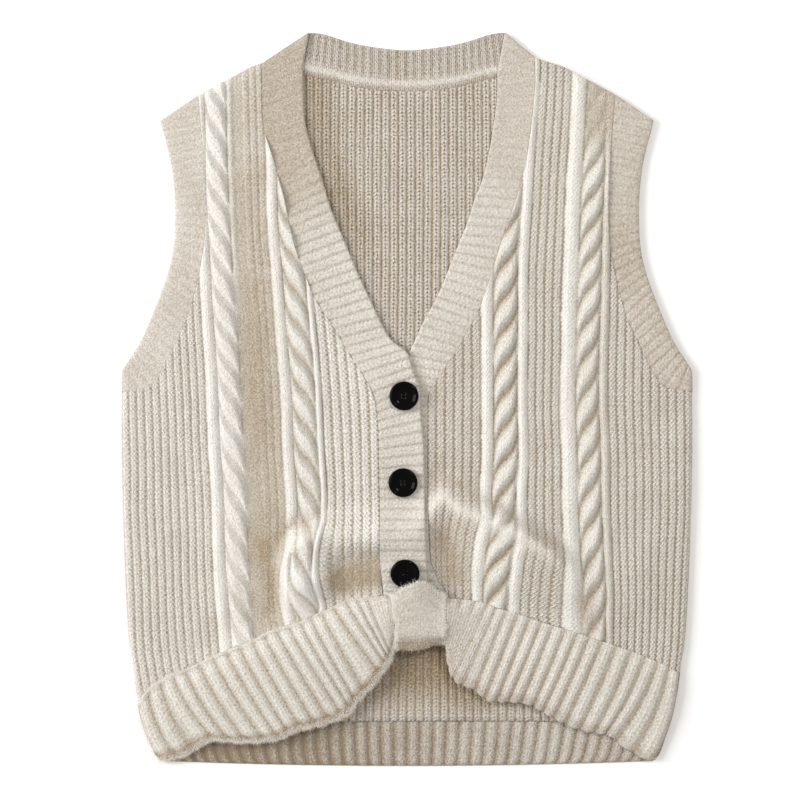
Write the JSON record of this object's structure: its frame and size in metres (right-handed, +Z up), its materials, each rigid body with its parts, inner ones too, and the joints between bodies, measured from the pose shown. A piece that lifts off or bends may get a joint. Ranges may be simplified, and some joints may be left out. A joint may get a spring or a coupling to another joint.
{
  "type": "sleeveless v-neck knitted cardigan",
  "caption": "Cable-knit sleeveless V-neck cardigan in cream, buttoned down the front and laid flat, its front hem pushed up into an arch.",
  "frame": {"origin": "middle of the laid garment's bounding box, on the surface that it rests on", "axes": "+Y from the hem to the neck, +Z up out of the front, +X to the viewer's right"},
  "size_m": [0.4556, 0.586, 0.0256],
  "materials": {
    "cream_wool": "matte cable-knitted wool with fine ribs",
    "cream_rib": "matte rib-knitted wool",
    "cream_inside": "matte wool, wrong side of the rib",
    "black_gloss": "polished black"
  },
  "bodies": {
    "root": {"back_panel": "cream_inside", "hem_back": "cream_inside", "back_neckband": "cream_rib", "armhole_left_front": "cream_rib", "armhole_left_back": "cream_rib", "armhole_right_front": "cream_rib", "armhole_right_back": "cream_rib", "front_left_panel": "cream_wool", "front_right_panel": "cream_wool", "front_band_left": "cream_rib", "front_band_right": "cream_rib", "hem_front_left": "cream_rib", "hem_front_right": "cream_rib", "button_top": "black_gloss", "button_middle": "black_gloss", "button_bottom": "black_gloss"}
  },
  "joints": []
}
